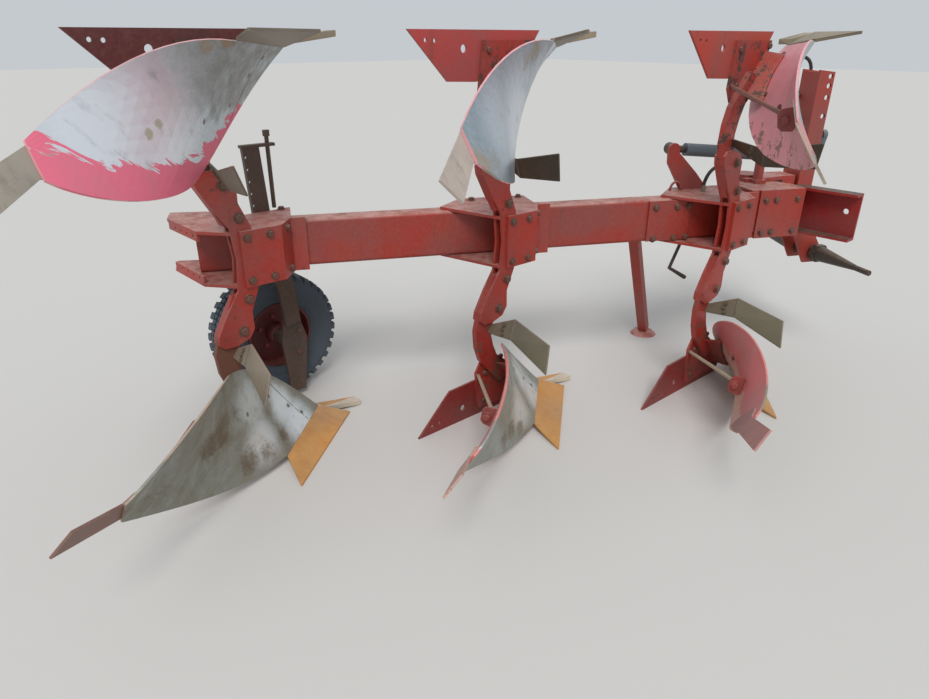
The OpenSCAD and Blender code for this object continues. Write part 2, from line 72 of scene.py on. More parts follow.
# The mouldboard's surface in millimetres near one body, from the same edges as the part's source.
SHIN_TOP, SHIN_BOTTOM = Vector((-245, -225, 365)), Vector((222, -14, 757))
SHIN_BENDS = (Vector((-70, -20, 430)), Vector((90, 80, 600)))
SEAM_END, SEAM_SHARE = Vector((-70, -262, 781)), 0.35
WING_TOP, WING_LOW = Vector((-762, -622, 480)), Vector((-775, -568, 570))
TOP_BENDS = (Vector((-400, -460, 325)), Vector((-660, -640, 405)))
LOW_BENDS = (Vector((-290, -340, 810)), Vector((-520, -395, 730)))
MILLIMETRE = 0.001

# The rest is in metres again. The mouldboard's thickness, and where it is bolted, across and down.
BOARD_T = 0.008
BOARD_BOLTS = ((0.10, 0.92), (0.12, 0.80), (0.14, 0.60), (0.30, 0.50))
# Where the peeled paint's border on the rear upper mouldboard is lowest.
PEEL_X, PEEL_H = PLAN[0] - REAR * PITCH - 0.300, 0.445
# The share's point bar and the stay rod behind each mouldboard, near one body, and how far off their middle
# lines a face may lie that belongs to them.
BAR_HEEL, BAR_POINT, BAR_REACH = (0.228, -0.022, 0.768), (0.424, -0.042, 0.795), 0.034
STAY_FOOT, STAY_HEAD, STAY_REACH = (-0.168, 0.008, 0.612), (0.58, 0.42), 0.016
# The trashboard's lip on the leg, near one body: its fold and its other edge, and its bolts' places along
# the fold and in from it.
LIP_Y, LIP_HALF = -0.0243, 0.004
FOLD = (Vector((-0.118, -0.165, 0.300)), Vector((-0.160, -0.182, 0.372)))
LIP = (Vector((-0.118, LIP_Y, 0.366)), Vector((-0.140, LIP_Y, 0.396)))
LIP_BOLTS = ((0.25, 0.35), (0.55, 0.40), (0.85, 0.35))

# Bolts near one body. Those of the leg and the frog plate: along the travel, and off the beam's middle.
LEG_BOLTS, LEG_RIGHT, LEG_LEFT = ((-0.087, 0.293), (-0.045, 0.165)), -0.032, 0.018
FROG_BOLTS = ((-0.137, 0.750), (0.105, 0.763), (0.022, 0.668), (-0.130, 0.610), (-0.033, 0.553))
FROG_FACE = 0.006
# Those of the bracket: on its flange and its bend, and on its gusset plates in the beam's own frame.
FLANGE_BOLTS, FLANGE_Y, FLANGE_H = (-0.028, 0.068), -0.046, 0.086
BEND_BOLT, OFF_BEND = (0.169, 0.0002, FLANGE_H), Vector((0.686, -0.727, 0))
GUSSET_BOLTS = ((0.290, 0.160), (0.060, 0.145))
# Bolts of the depth wheel's arm, and of the beam's right face: rows along it, and their heights.
ARM_BOLTS, ARM_Y = ((-0.742, 0.420), (-0.738, 0.340), (-0.748, 0.230)), 0.855
BEAM_BOLTS = (((-0.160, -0.050, 0.010), (0.066, -0.085)), ((0.435, 0.492, 0.613), (0.070, -0.090)))
BEAM_BOLT_FACE = -0.012

# The plate that a stay rod is bolted to: its outline off the mouldboard's back and along it, half its
# thickness, how far it stands beside the rod's middle, and its bolt's place off the mouldboard.
LUG = ((0.000, -0.030), (0.010, -0.042), (0.046, -0.036), (0.058, -0.022), (0.058, 0.024), (0.046, 0.040),
       (0.010, 0.042), (0.000, 0.034))
LUG_HALF, LUG_ASIDE, LUG_BOLT = 0.004, 0.016, 0.034

# The hoses' routes: out of the headstock's tower, up, over and back to it, and over the beam's front end.
TOWER_HOSE = (
    (1.640, -0.280, 1.110), (1.592, -0.256, 1.130), (1.574, -0.244, 1.195), (1.600, -0.236, 1.270),
    (1.650, -0.234, 1.335), (1.698, -0.237, 1.395), (1.724, -0.242, 1.460), (1.708, -0.230, 1.510),
    (1.668, -0.200, 1.530), (1.628, -0.170, 1.510), (1.610, -0.160, 1.455), (1.604, -0.164, 1.380),
    (1.600, -0.186, 1.305), (1.600, -0.222, 1.245), (1.640, -0.280, 1.220))
BEAM_HOSE = (
    (0.960, -0.170, 0.934), (0.962, -0.169, 0.975), (0.985, -0.177, 1.022), (1.028, -0.193, 1.050),
    (1.072, -0.212, 1.048), (1.110, -0.230, 1.016), (1.128, -0.239, 0.972), (1.130, -0.240, 0.934))
HOSE_STEPS, HOSE_SIDES = 40, 14
# The lifting eye's bow on the front bracket: its middle in the beam's own frame, half its width, its rise and
# its bar's radius.
EYE_U, EYE_V, EYE_HALF, EYE_RISE, EYE_R = 0.010, 0.125, 0.030, 0.045, 0.006

# The tyre's casing from its bead to the edge of the tread, as (radius, half width).
CASING = ((0.160, 0.064), (0.168, 0.071), (0.178, 0.073), (0.182, 0.077), (0.196, 0.083), (0.200, 0.082),
          (0.212, 0.088), (0.232, 0.0935), (0.250, 0.0925), (0.254, 0.0935), (0.262, 0.0905), (0.272, 0.084),
          (0.2795, 0.076), (0.285, 0.066), (0.288, 0.058))
CASING_STEPS, TREAD_HALF = 96, 0.040
# The tread's blocks, as (off the tyre's middle, part of a block's share of the way round), how deep they go
# into the casing, and where and how fast the shoulder falls away.
BLOCKS, BLOCK_SUNK = 35, 0.004
SHOULDER_FROM, SHOULDER_FALL = 0.060, 14
SHOULDER_BLOCK = ((0.034, 0.00), (0.052, 0.14), (0.074, 0.20), (0.086, 0.22), (0.086, 0.72), (0.074, 0.74),
                  (0.052, 0.76), (0.034, 0.62))
RIB_BLOCK = ((0.006, 0.04), (0.016, 0.16), (0.028, 0.04), (0.028, 0.42), (0.016, 0.54), (0.006, 0.42))
# The hub: its bolts' circle, their place beside the rim's middle, and its cover as (radius, height).
HUB_BOLTS, HUB_BOLT_R, HUB_FACE = 5, 0.078, 0.004
HUB_COVER, HUB_END = ((0.040, 0.0), (0.040, 0.006), (0.034, 0.012), (0.012, 0.014)), 0.0495

# The photograph's camera: its place in metres, its angles in degrees, its focal length in pixels, and the
# sensor's width in millimetres.
CAMERA_AT = (-2.138, -1.919, 1.621)
HEADING, DOWN, ROLL = 48.5, 24.64, 0.2
FOCAL_PIXELS, PHOTO_WIDTH = 685.3, 929
SENSOR = 36.0

# Paint of the legs and small pieces, from the front body to the rear one.
SHADES = {
    "landside_upper": ((182, 60, 44), (178, 66, 64), (88, 32, 34)),
    "landside_lower": ((138, 18, 18), (132, 18, 18), (104, 24, 24)),
    "tail_upper": ((190, 172, 150), (200, 186, 172), (158, 152, 140)),
    "tail_lower": ((178, 116, 112), (188, 146, 132), (136, 86, 70)),
    "trashboard_upper": ((74, 60, 46), (60, 52, 38), (98, 86, 66)),
    "trashboard_lower": ((112, 106, 86), (112, 106, 86), (132, 120, 102)),
    "leg_upper": ((162, 46, 36), (162, 46, 38), (152, 44, 38)),
    "leg_lower": ((164, 42, 34), (158, 42, 34), (168, 44, 36)),
}


# Places


def side_name(side):
    return "upper" if side == UPPER else "lower"


def at_body(place, x, y, h, side):
    """A point near one body, h above the beam's middle, or below it for the lower side."""
    return Vector((PLAN[0] - place * PITCH + x, PLAN[1] + place * FURROW + y, MID_Z + side * h))


def along_beam(u, v):
    """Where a point of the beam's own frame lies near a body: u along it, v left of its right face."""
    return BEAM_START[0] + u * COS + v * SIN, BEAM_START[1] - u * SIN + v * COS


def on_beam(u, v, h):
    """A point of the beam's own frame at the front body, h above its middle."""
    return at_body(FRONT, *along_beam(u, v), h, UPPER)


def at_wheel(r, y, t):
    """A point round the depth wheel's axle: its radius, its place along the axle, its angle."""
    return WHEEL + Vector((math.cos(t) * r, y, math.sin(t) * r))


def bezier(a, bends, d, t):
    b, c = bends
    return a * (1 - t) ** 3 + b * (3 * t * (1 - t) ** 2) + c * (3 * t * t * (1 - t)) + d * t ** 3


def board_at(s, t):
    """A point of the mouldboard's soil face, s from the shin to the wing and t from the top down."""
    if s < SEAM_SHARE:
        low = SHIN_BOTTOM.lerp(SEAM_END, s / SEAM_SHARE)
    else:
        low = bezier(SEAM_END, LOW_BENDS, WING_LOW, (s - SEAM_SHARE) / (1 - SEAM_SHARE))
    shin = SHIN_TOP * (1 - t) + SHIN_BOTTOM * t
    wing = WING_TOP * (1 - t) + WING_LOW * t
    across = bezier(SHIN_TOP, TOP_BENDS, WING_TOP, s) * (1 - t) + low * t
    down = bezier(SHIN_TOP, SHIN_BENDS, SHIN_BOTTOM, t) * (1 - s) + wing * s
    return across + down - (shin * (1 - s) + wing * s)


def on_board(place, side, s, t, out=0.0):
    """A point out metres in front of a mouldboard's soil face, or behind it, and the face's direction."""
    e = 0.02
    a, b = min(max(s, e), 1 - e), min(max(t, e), 1 - e)
    across = board_at(a + e, b) - board_at(a - e, b)
    down = board_at(a, b + e) - board_at(a, b - e)
    n = across.cross(down).normalized()
    at = board_at(s, t) * MILLIMETRE - n * out
    return at_body(place, at.x, at.y, at.z, side), Vector((-n.x, -n.y, -n.z * side))


def near_line(point, a, b, reach):
    """Whether a point lies within reach of the line from a to b."""
    ab = b - a
    part = min(max((point - a).dot(ab) / ab.dot(ab), 0.0), 1.0)
    return (a + ab * part - point).length < reach


# Node helpers


def rgb(r, g, b):
    """Linear colour of an 8-bit screen colour."""
    def linear(c):
        return c / 255 / 12.92 if c <= 10 else ((c / 255 + 0.055) / 1.055) ** 2.4
    return linear(r), linear(g), linear(b), 1.0


RUST, DUST = rgb(84, 56, 42), rgb(150, 130, 105)


def feed(tree, socket, value):
    """Joins a node's input to a socket, or sets it to a value."""
    if isinstance(value, bpy.types.NodeSocket):
        tree.links.new(value, socket)
    else:
        socket.default_value = value


def put(tree, kind, settings=None, **inputs):
    """The outputs of a new node with its settings; inputs go by name, or by number as i0, i1 and so on."""
    node = tree.nodes.new(kind)
    for key, value in (settings or {}).items():
        setattr(node, key, value)
    for key, value in inputs.items():
        by_number = key[0] == "i" and key[1:].isdigit()
        feed(tree, node.inputs[int(key[1:]) if by_number else key.replace("_", " ")], value)
    return node.outputs


def maths(tree, op, a, b=0.0, clamp=False):
    return put(tree, "ShaderNodeMath", {"operation": op, "use_clamp": clamp}, i0=a, i1=b)[0]


def plus(tree, a, b, clamp=False):
    return maths(tree, "ADD", a, b, clamp)


def minus(tree, a, b):
    return maths(tree, "SUBTRACT", a, b)


def times(tree, a, b):
    return maths(tree, "MULTIPLY", a, b)


def blend_colour(tree, factor, a, b):
    return put(tree, "ShaderNodeMix", {"data_type": "RGBA"}, i0=factor, i6=a, i7=b)[2]


def shaded(tree, colour, value, saturation=1.0):
    """A colour made brighter or darker, and stronger or weaker."""
    return put(tree, "ShaderNodeHueSaturation", Saturation=saturation, Value=value, Color=colour)[0]


def ramp(tree, value, low, high, kind="SMOOTHSTEP"):
    """0 at low, 1 at high, and between them a curve or a straight line."""
    return put(tree, "ShaderNodeMapRange", {"interpolation_type": kind}, Value=value, From_Min=low,
               From_Max=high)[0]


def cloud(tree, where, scale, detail, rough=0.55, distort=0.0):
    return put(tree, "ShaderNodeTexNoise", Vector=where, Scale=scale, Detail=detail, Roughness=rough,
               Distortion=distort)["Fac"]


def stretched(tree, where, size):
    return put(tree, "ShaderNodeMapping", Vector=where, Scale=size)[0]


def object_place(tree):
    """Where a point of the surface lies in its object's own frame."""
    return put(tree, "ShaderNodeTexCoord")["Object"]


def parts_of(tree, vector):
    return put(tree, "ShaderNodeSeparateXYZ", Vector=vector)


def group(name, inputs, outputs):
    """A new node group with inputs (name, kind, default) and outputs (name, kind), and both ends' sockets."""
    tree = bpy.data.node_groups.new(name, "ShaderNodeTree")
    for label, kind, default in inputs:
        socket = tree.interface.new_socket(name=label, in_out="INPUT", socket_type="NodeSocket" + kind)
        socket.default_value = default
    for label, kind in outputs:
        tree.interface.new_socket(name=label, in_out="OUTPUT", socket_type="NodeSocket" + kind)
    return tree, tree.nodes.new("NodeGroupInput").outputs, tree.nodes.new("NodeGroupOutput").inputs


def send(tree, out, **values):
    """Joins what a group has worked out to its outputs."""
    for name, value in values.items():
        tree.links.new(value, out[name])


# Finishes


def weathering():
    """Old paint: faded patches, chalk on what faces up, chips down to rust, and soil dust."""
    tree, given, out = group(
        "Weathered paint",
        [("Paint", "Color", rgb(160, 50, 40)), ("Chalk", "Color", rgb(205, 150, 140)),
         ("Rust", "Color", RUST), ("Dust", "Color", DUST), ("Fade", "Float", 0.5), ("Chips", "Float", 0.35),
         ("Soil", "Float", 0.3)],
        [("Colour", "Color"), ("Roughness", "Float"), ("Height", "Float")])
    spot = put(tree, "ShaderNodeTexCoord")
    where = spot["Object"]
    upward = ramp(tree, parts_of(tree, spot["Normal"])[2], 0.35, 0.9)
    broad = cloud(tree, where, 3.0, 5.0)
    blotch = cloud(tree, where, 16.0, 8.0, 0.65)
    fine = cloud(tree, where, 70.0, 6.0, 0.7)
    runs = cloud(tree, stretched(tree, where, (22.0, 22.0, 2.5)), 1.0, 5.0, 0.6)

    faded = ramp(tree, broad, 0.35, 0.7)
    dull = blend_colour(tree, faded, given["Paint"], shaded(tree, given["Paint"], 0.72, 0.85))
    streaks = times(tree, ramp(tree, runs, 0.55, 0.75), 0.35)
    streaked = blend_colour(tree, streaks, dull, given["Rust"])
    patchy = times(tree, upward, ramp(tree, blotch, 0.28, 0.62))
    chalked = blend_colour(tree, times(tree, patchy, given["Fade"]), streaked, given["Chalk"])

    bite = plus(tree, times(tree, blotch, 0.6), times(tree, fine, 0.4))
    limit = minus(tree, 0.78, times(tree, given["Chips"], 0.34))
    chip = ramp(tree, minus(tree, bite, limit), 0.0, 0.03, "LINEAR")
    chipped = blend_colour(tree, chip, chalked, given["Rust"])

    lying = plus(tree, times(tree, upward, 0.6), times(tree, runs, 0.5))
    soil = times(tree, times(tree, lying, ramp(tree, fine, 0.3, 0.7)), given["Soil"])
    send(tree, out,
         Colour=blend_colour(tree, soil, chipped, given["Dust"]),
         Roughness=plus(tree, 0.46, times(tree, plus(tree, chip, soil), 0.3), clamp=True),
         Height=minus(tree, times(tree, fine, 0.25), times(tree, chip, 0.6)))


def scouring():
    """Soil-scoured steel: long fine scratches, polished parts mixed towards a near-white blue as a painted
    highlight, dull parts, a dusty film, rust and old paint.
    """
    tree, given, out = group(
        "Scoured steel",
        [("Steel", "Color", rgb(135, 150, 160)), ("Shine", "Color", rgb(226, 232, 240)),
         ("Film", "Color", rgb(140, 132, 112)), ("Rust", "Color", rgb(104, 76, 46)),
         ("Paint", "Color", rgb(225, 105, 125)), ("Filmed", "Float", 0.4), ("Shone", "Float", 0.0),
         ("Rusted", "Float", 0.0), ("Painted", "Float", 0.0), ("Along", "Vector", (1.0, 0.4, 0.2))],
        [("Colour", "Color"), ("Roughness", "Float"), ("Metal", "Float"), ("Height", "Float")])
    where = object_place(tree)
    turned = put(tree, "ShaderNodeVectorRotate", {"rotation_type": "EULER_XYZ"}, Vector=where,
                 Rotation=given["Along"])[0]
    scratch = cloud(tree, stretched(tree, turned, (3.0, 160.0, 160.0)), 1.0, 3.0, 0.6)
    long_wear = cloud(tree, stretched(tree, turned, (2.0, 22.0, 22.0)), 1.0, 4.0, 0.6)
    patch = cloud(tree, where, 7.0, 7.0, 0.62, 0.4)
    speck = cloud(tree, where, 60.0, 6.0, 0.72)

    scratched = ramp(tree, scratch, 0.3, 0.75)
    shade = blend_colour(tree, scratched, given["Steel"], shaded(tree, given["Steel"], 1.3))
    # Painted highlight: where the steel is scoured, its colour is mixed towards the near-white blue Shine,
    # which stands in for the sky's reflection as well as the bare polish.
    gleam = times(tree, given["Shone"], ramp(tree, long_wear, 0.12, 0.46))
    polished_with_highlight = blend_colour(tree, gleam, shade, given["Shine"])

    cover = plus(tree, times(tree, patch, 0.6), times(tree, long_wear, 0.4))
    more = minus(tree, given["Filmed"], times(tree, gleam, 0.35))
    film = times(tree, ramp(tree, plus(tree, cover, minus(tree, more, 0.5)), 0.3, 0.7), 0.9)
    dusty = shaded(tree, given["Film"], plus(tree, 0.78, times(tree, speck, 0.42)))
    filmed = blend_colour(tree, film, polished_with_highlight, dusty)

    bite = plus(tree, times(tree, speck, 0.55), times(tree, patch, 0.45))
    rust = ramp(tree, plus(tree, bite, times(tree, given["Rusted"], 0.36)), 0.60, 0.86)
    rusty = blend_colour(tree, times(tree, rust, 0.8), filmed, given["Rust"])

    painted = given["Painted"]
    rubbed = times(tree, ramp(tree, patch, 0.45, 0.8), 0.3)
    coat = blend_colour(tree, rubbed, given["Paint"], given["Film"])
    bare = times(tree, minus(tree, 1.0, maths(tree, "MAXIMUM", film, rust)), minus(tree, 1.0, painted))
    raised = times(tree, plus(tree, painted, film), 0.3)
    send(tree, out,
         Colour=blend_colour(tree, painted, rusty, coat),
         Roughness=minus(tree, 0.60, times(tree, bare, 0.26)),
         Metal=times(tree, bare, 0.8),
         Height=plus(tree, times(tree, scratch, 0.2), raised))


def surface(mat, colour, rough, height, metal=None, bump=0.35):
    """Joins a finish to the material's own shader."""
    tree = mat.node_tree
    shader = tree.nodes["Principled BSDF"].inputs
    tree.links.new(colour, shader["Base Color"])
    tree.links.new(rough, shader["Roughness"])
    if metal is not None:
        tree.links.new(metal, shader["Metallic"])
    bumped = put(tree, "ShaderNodeBump", Height=height, Strength=bump, Distance=0.002)
    tree.links.new(bumped[0], shader["Normal"])


def new_material(name, preview):
    mat = bpy.data.materials.new(name)
    mat.use_nodes = True
    mat.diffuse_color = preview
    return mat


def use(tree, kind, **inputs):
    """The outputs of the named effect, with its inputs set."""
    node = tree.nodes.new("ShaderNodeGroup")
    node.node_tree = bpy.data.node_groups[kind]
    for key, value in inputs.items():
        feed(tree, node.inputs[key], value)
    return node.outputs


def paint(name, base, chalk, fade, chips, soil, rust=RUST, dust=DUST):
    """A weathered paint; chips may be a function of the tree and the place."""
    mat = new_material(name, base)
    tree = mat.node_tree
    if callable(chips):
        chips = chips(tree, object_place(tree))
    made = use(tree, "Weathered paint", Paint=base, Chalk=chalk, Fade=fade, Chips=chips, Soil=soil, Rust=rust,
               Dust=dust)
    surface(mat, made["Colour"], made["Roughness"], made["Height"])
    return mat


def steel(name, base, film, filmed, along, **marks):
    """A scoured steel; its film, its polish with a painted highlight, its rust and its paint may be functions
    of the tree and the place.
    """
    mat = new_material(name, base)
    tree = mat.node_tree
    where = object_place(tree)
    marks["Filmed"] = filmed
    given = {key: value(tree, where) if callable(value) else value for key, value in marks.items()}
    made = use(tree, "Scoured steel", Steel=base, Film=film, Along=along, **given)
    surface(mat, made["Colour"], made["Roughness"], made["Height"], made["Metal"], 0.25)
    return mat


def near(tree, where, centre, radius):
    """1 round a point, falling to 0 at the radius."""
    away = put(tree, "ShaderNodeVectorMath", {"operation": "DISTANCE"}, i0=where, i1=tuple(centre))["Value"]
    return ramp(tree, away, radius, radius * 0.2)


def zones(place, side, *marks):
    """The strongest of several zones of a mouldboard's soil face, each (across, down, radius, strength)."""
    def mark(tree, where):
        total = 0.0
        for s, t, radius, strength in marks:
            zone = near(tree, where, on_board(place, side, s, t)[0], radius)
            total = maths(tree, "MAXIMUM", total, times(tree, zone, strength))
        return total
    return mark


def peeled(tree, where):
    """The ragged paint that is left on the rear upper mouldboard, below a curved border."""
    x, _, z = parts_of(tree, where)
    across = minus(tree, x, PEEL_X)
    bend = ramp(tree, across, -0.02, 0.02, "LINEAR")
    rise = plus(tree, 0.6, times(tree, bend, 0.7))
    lift = maths(tree, "MINIMUM", times(tree, times(tree, across, across), rise), 0.115)
    border = plus(tree, MID_Z + PEEL_H, lift)
    turned = put(tree, "ShaderNodeVectorRotate", {"rotation_type": "Y_AXIS"}, Vector=where, Angle=-0.6)[0]
    torn = cloud(tree, stretched(tree, turned, (5.0, 5.0, 24.0)), 1.0, 6.0, 0.62, 0.6)
    ragged = times(tree, minus(tree, torn, 0.5), 0.24)
    below = minus(tree, plus(tree, border, ragged), z)
    return ramp(tree, below, -0.0015, 0.0015, "LINEAR")


def worn_away(least, most, start, end):
    """Paint that is worn off more towards the soil, from start to end above and below the beam's middle."""
    def mark(tree, where):
        off = maths(tree, "ABSOLUTE", minus(tree, parts_of(tree, where)[2], MID_Z))
        return plus(tree, least, times(tree, ramp(tree, off, start, end), most - least))
    return mark


def dull_side(tree, where):
    """Film on the forward part of the rear upper mouldboard, which behind it is scoured bright and carries a
    painted highlight.
    """
    x, _, z = parts_of(tree, where)
    wander = times(tree, minus(tree, cloud(tree, where, 9.0, 5.0), 0.5), 0.16)
    forward = ramp(tree, plus(tree, x, wander), PEEL_X - 0.13, PEEL_X - 0.02)
    high = ramp(tree, plus(tree, z, wander), MID_Z + 0.46, MID_Z + 0.60)
    return plus(tree, 0.12, times(tree, forward, times(tree, high, 0.42)))


def tyre_rubber():
    rubber = new_material("tyre_rubber", rgb(22, 28, 32))
    tree = rubber.node_tree
    where = object_place(tree)
    dust = ramp(tree, cloud(tree, where, 14.0, 7.0, 0.65), 0.42, 0.72)
    colour = blend_colour(tree, times(tree, dust, 0.35), rgb(11, 15, 18), rgb(70, 68, 60))
    grain = cloud(tree, where, 160.0, 4.0)
    surface(rubber, colour, plus(tree, 0.62, times(tree, dust, 0.25)), grain)
    return rubber


def soil_faces():
    """The steel of the six mouldboards' soil faces, by place and side."""
    # Each board's light Shine colour and bright zones are partly scoured polish and partly a painted
    # highlight, placed where the steel looks brightest.
    tan = rgb(150, 128, 98)
    up_along, low_along = (0.1, -0.5, 0.2), (0.1, 0.5, 0.2)
    return {
        (REAR, UPPER): steel(
            "board_peeled", rgb(172, 182, 188), rgb(136, 138, 130), dull_side, (0.1, -0.6, 0.2),
            Painted=peeled, Paint=rgb(230, 112, 136), Shine=rgb(246, 250, 255), Rust=tan,
            Shone=zones(
                REAR, UPPER, (0.62, 0.45, 0.40, 1.0), (0.80, 0.6, 0.34, 1.0), (0.45, 0.25, 0.22, 0.5)),
            Rusted=zones(
                REAR, UPPER, (0.95, 0.47, 0.035, 1.0), (0.56, 0.43, 0.03, 1.0), (0.53, 0.49, 0.03, 0.9),
                (0.45, 0.97, 0.055, 0.9), (0.38, 1.0, 0.05, 0.9))),
        (MIDDLE, UPPER): steel(
            "board_scoured", rgb(158, 172, 180), rgb(134, 132, 120), 0.34, up_along, Rust=tan,
            Shine=rgb(232, 240, 248),
            Shone=zones(
                MIDDLE, UPPER, (0.40, 0.4, 0.30, 0.8), (0.25, 0.7, 0.25, 0.6), (0.7, 0.5, 0.2, 0.5)),
            Rusted=zones(
                MIDDLE, UPPER, (0.93, 0.03, 0.12, 0.9), (0.77, 0.16, 0.1, 0.6), (0.46, 0.91, 0.08, 0.8),
                (0.51, 0.87, 0.07, 0.8), (1.0, 0.67, 0.12, 0.5))),
        (FRONT, UPPER): steel(
            "board_clean", rgb(156, 168, 174), rgb(132, 128, 114), 0.38, up_along, Rust=tan),
        (REAR, LOWER): steel(
            "board_soiled", rgb(148, 154, 148), rgb(122, 116, 98), 0.56, low_along, Rust=rgb(96, 76, 54),
            Shine=rgb(236, 240, 240),
            Shone=zones(
                REAR, LOWER, (0.16, 0.94, 0.17, 1.0), (0.14, 0.75, 0.16, 0.9), (0.37, 0.77, 0.15, 0.8),
                (0.25, 0.5, 0.18, 0.5)),
            Rusted=zones(
                REAR, LOWER, (0.48, 0.82, 0.10, 0.8), (0.39, 0.86, 0.08, 0.8), (0.28, 0.89, 0.06, 0.7),
                (0.43, 0.39, 0.12, 0.7), (0.54, 0.42, 0.12, 0.7), (0.32, 0.39, 0.1, 0.6),
                (0.85, 0.4, 0.2, 0.5))),
        (MIDDLE, LOWER): steel(
            "board_dulled", rgb(158, 164, 158), rgb(130, 124, 106), 0.48, low_along, Rust=rgb(104, 80, 56),
            Shine=rgb(236, 240, 238),
            Shone=zones(
                MIDDLE, LOWER, (0.16, 0.94, 0.15, 1.0), (0.14, 0.75, 0.15, 0.8), (0.37, 0.77, 0.15, 0.7)),
            Rusted=zones(
                MIDDLE, LOWER, (0.51, 0.83, 0.08, 0.9), (0.45, 0.9, 0.06, 0.9), (0.59, 0.86, 0.08, 0.8))),
        (FRONT, LOWER): steel(
            "board_dusty", rgb(152, 158, 150), rgb(128, 122, 102), 0.52, low_along, Rust=rgb(84, 64, 44)),
    }


def board_backs():
    """The paint of the six mouldboards' backs, by place and side; the pink of the upper backs and of the
    front and middle lower backs is lightened as painted light.
    """
    # Painted light: both pinks are made lighter than the paint itself, standing in for the light that falls
    # on the backs.
    upper = paint("board_back_upper_painted_light", rgb(238, 158, 166), rgb(244, 196, 196), 0.4,
                  worn_away(0.75, 0.30, 0.40, 0.60), 0.35, rgb(150, 116, 106), rgb(170, 150, 138))
    lower = paint("board_back_lower_painted_light", rgb(216, 104, 104), rgb(226, 158, 148), 0.3,
                  worn_away(0.30, 1.5, 0.42, 0.72), 0.35, rgb(196, 158, 140), rgb(186, 160, 138))
    rear = paint("board_back_rear", rgb(172, 148, 128), rgb(196, 176, 156), 0.5, 0.4, 0.4, rgb(140, 70, 60),
                 rgb(150, 132, 108))
    backs = {}
    for place, side in BODIES:
        backs[place, side] = upper if side == UPPER else rear if place == REAR else lower
    return backs


def body_paint(piece, place, side):
    """The paint of one body's leg, or of one of its small pieces; a leg is worn towards the soil."""
    which = side_name(side)
    base = rgb(*SHADES[f"{piece}_{which}"][place])
    pale = tuple(0.55 * a + 0.45 * b for a, b in zip(base, rgb(205, 170, 160)))
    fade, chips, rust = 0.45, 0.45, rgb(90, 62, 46)
    if piece == "landside":
        fade = 0.2
    elif piece == "leg":
        chips = worn_away(0.45, 1.25 if place == REAR else 0.75, 0.23, 0.36)
        rust = rgb(66, 50, 46) if side == UPPER else rgb(112, 70, 56)
    return paint(f"{piece}_{which}_{PLACES[place]}", base, pale, fade, chips, 0.4, rust)


def assign(node, *materials, choose=None):
    """Gives a solid its finishes; choose tells, for a face, which of them it takes."""
    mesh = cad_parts[node].data
    mesh.materials.clear()
    for material in materials:
        mesh.materials.append(material)
    if choose:
        for face in mesh.polygons:
            face.material_index = choose(face)


# Mesh helpers


def new_object(name, mesh_maker, material, body, smooth=False):
    """An object from bmesh code, with its finish, riding on a body."""
    bm = bmesh.new()
    mesh_maker(bm)
    bmesh.ops.recalc_face_normals(bm, faces=bm.faces)
    mesh = bpy.data.meshes.new(name)
    bm.to_mesh(mesh)
    bm.free()
    if smooth:
        for face in mesh.polygons:
            face.use_smooth = True
    obj = bpy.data.objects.new(name, mesh)
    bpy.context.scene.collection.objects.link(obj)
    mesh.materials.append(material)
    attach(obj, body)
    return obj


def axes_for(normal):
    n = Vector(normal).normalized()
    side = n.cross(UP if abs(n.z) < 0.9 else Vector((1, 0, 0))).normalized()
    return n, side, n.cross(side)


def skin(bm, loops):
    """Faces from each loop of points to the next, and over both ends."""
    for low, high in zip(loops, loops[1:]):
        for k in range(len(low)):
            j = (k + 1) % len(low)
            bm.faces.new((low[k], low[j], high[j], high[k]))
    bm.faces.new(list(reversed(loops[0])))
    bm.faces.new(loops[-1])


def ring_stack(bm, at, normal, rings, sides, turn=0.0):
    """A closed turned form: rings of (radius, height) along the normal."""
    n, a, b = axes_for(normal)
    angles = [turn + math.tau * k / sides for k in range(sides)]
    loops = []
    for radius, height in rings:
        middle = Vector(at) + n * height
        loops.append([bm.verts.new(middle + (a * math.cos(t) + b * math.sin(t)) * radius) for t in angles])
    skin(bm, loops)


def bolt(bm, at, normal, size, washer=True):
    """A hexagon head on its washer, size being half the width over the corners."""
    if washer:
        wide = size * 1.32
        ring_stack(bm, at, normal, [(wide, -0.001), (wide, size * 0.2), (size * 1.26, size * 0.26)], 16)
    n = Vector(normal).normalized()
    base = Vector(at) + n * (size * 0.24 if washer else 0)
    turn = random.uniform(0, math.pi)
    ring_stack(bm, base, n, [(size, -0.001), (size, size * 0.62), (size * 0.86, size * 0.74)], 6, turn)


def tube(bm, points, radius, sides):
    """A round bar along the points."""
    rings = []
    side = None
    for i, p in enumerate(points):
        ahead = points[min(i + 1, len(points) - 1)] - points[max(i - 1, 0)]
        ahead.normalize()
        if side is None:
            side = axes_for(ahead)[1]
        side = (side - ahead * side.dot(ahead)).normalized()
        other = ahead.cross(side)
        rings.append([bm.verts.new(p + (side * math.cos(t) + other * math.sin(t)) * radius)
                      for t in (math.tau * k / sides for k in range(sides))])
    skin(bm, rings)


def strip(bm, place, side, marks, half_width):
    """A thin joint line along points of a mouldboard's soil face."""
    points = [on_board(place, side, s, t, 0.0005) for s, t in marks]
    loops = []
    for i, (at, n) in enumerate(points):
        ahead = points[min(i + 1, len(points) - 1)][0] - points[max(i - 1, 0)][0]
        edge = n.cross(ahead).normalized() * half_width
        low = at - n * 0.0015
        loops.append([bm.verts.new(v) for v in (low - edge, at - edge, at + edge, low + edge)])
    skin(bm, loops)


